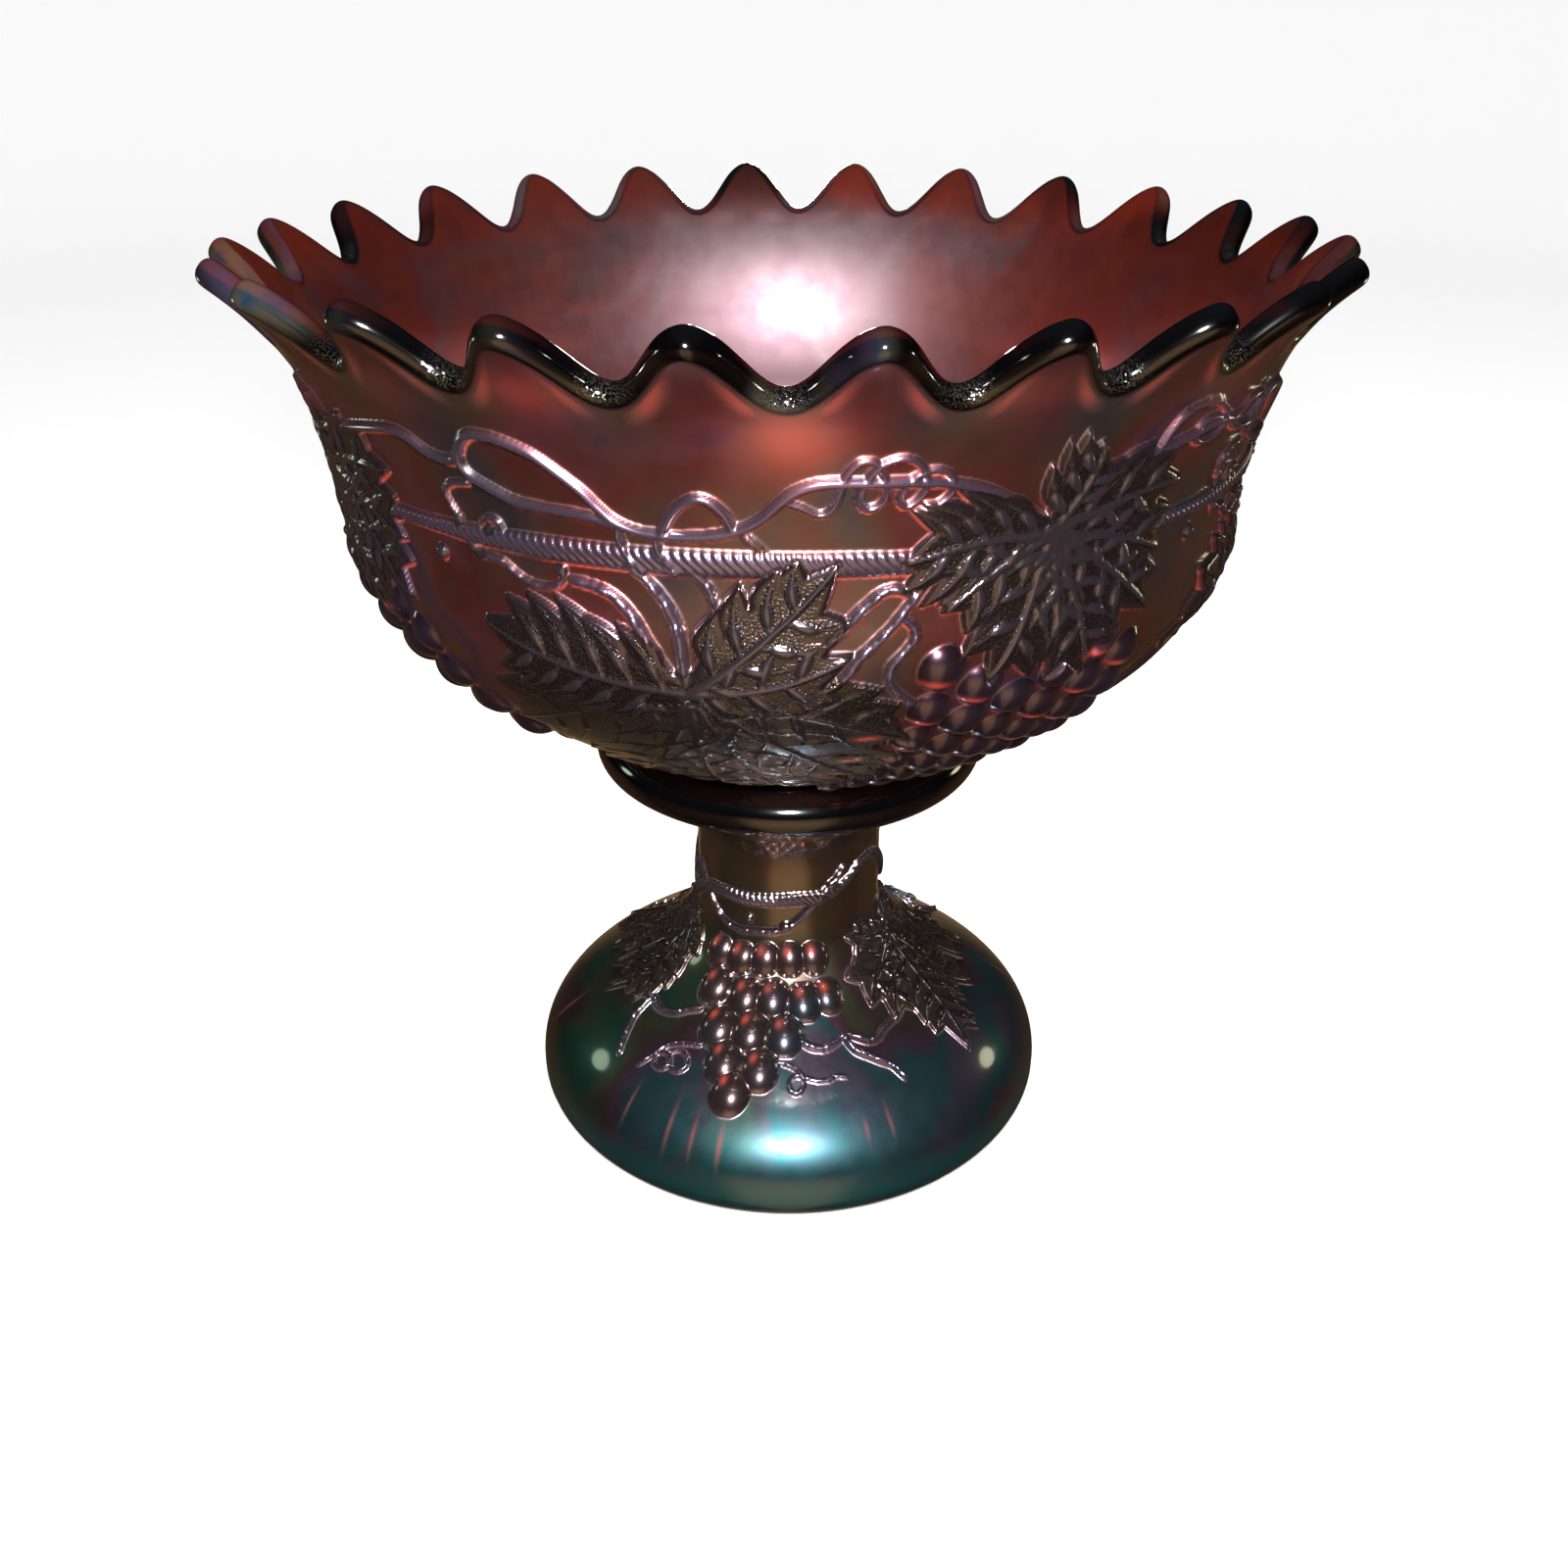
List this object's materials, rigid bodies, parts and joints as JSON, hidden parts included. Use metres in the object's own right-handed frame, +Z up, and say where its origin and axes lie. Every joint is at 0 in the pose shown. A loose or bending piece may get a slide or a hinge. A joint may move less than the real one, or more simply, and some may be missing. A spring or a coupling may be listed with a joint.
{
  "type": "footed punch bowl",
  "caption": "Round pressed glass bowl with a sawtooth rim, whose collar foot stands loose in the ringed cup of a hollow domed glass pedestal.",
  "frame": {"origin": "on the table surface, on the common axis of the bowl and the pedestal", "axes": "+Z up along the axis; -Y is the front, where a valley of the rim faces the viewer; +X to the viewer's right"},
  "size_m": [0.2636, 0.2636, 0.25],
  "materials": {
    "bowl_glass": "dark purple pressed glass with an iridescent satin skin, plum and copper, pinkish on raised edges",
    "pedestal_glass": "dark purple pressed glass with a glossy iridescent skin, teal, blue and purple, black on the ring"
  },
  "bodies": {
    "pedestal": {"pedestal": "pedestal_glass"},
    "bowl": {"punch_bowl": "bowl_glass"}
  },
  "joints": [
    {"name": "bowl_lift", "type": "slide", "parent": "pedestal", "child": "bowl", "axis": [0, 0, 1], "range_m": [0, 0.06]}
  ]
}
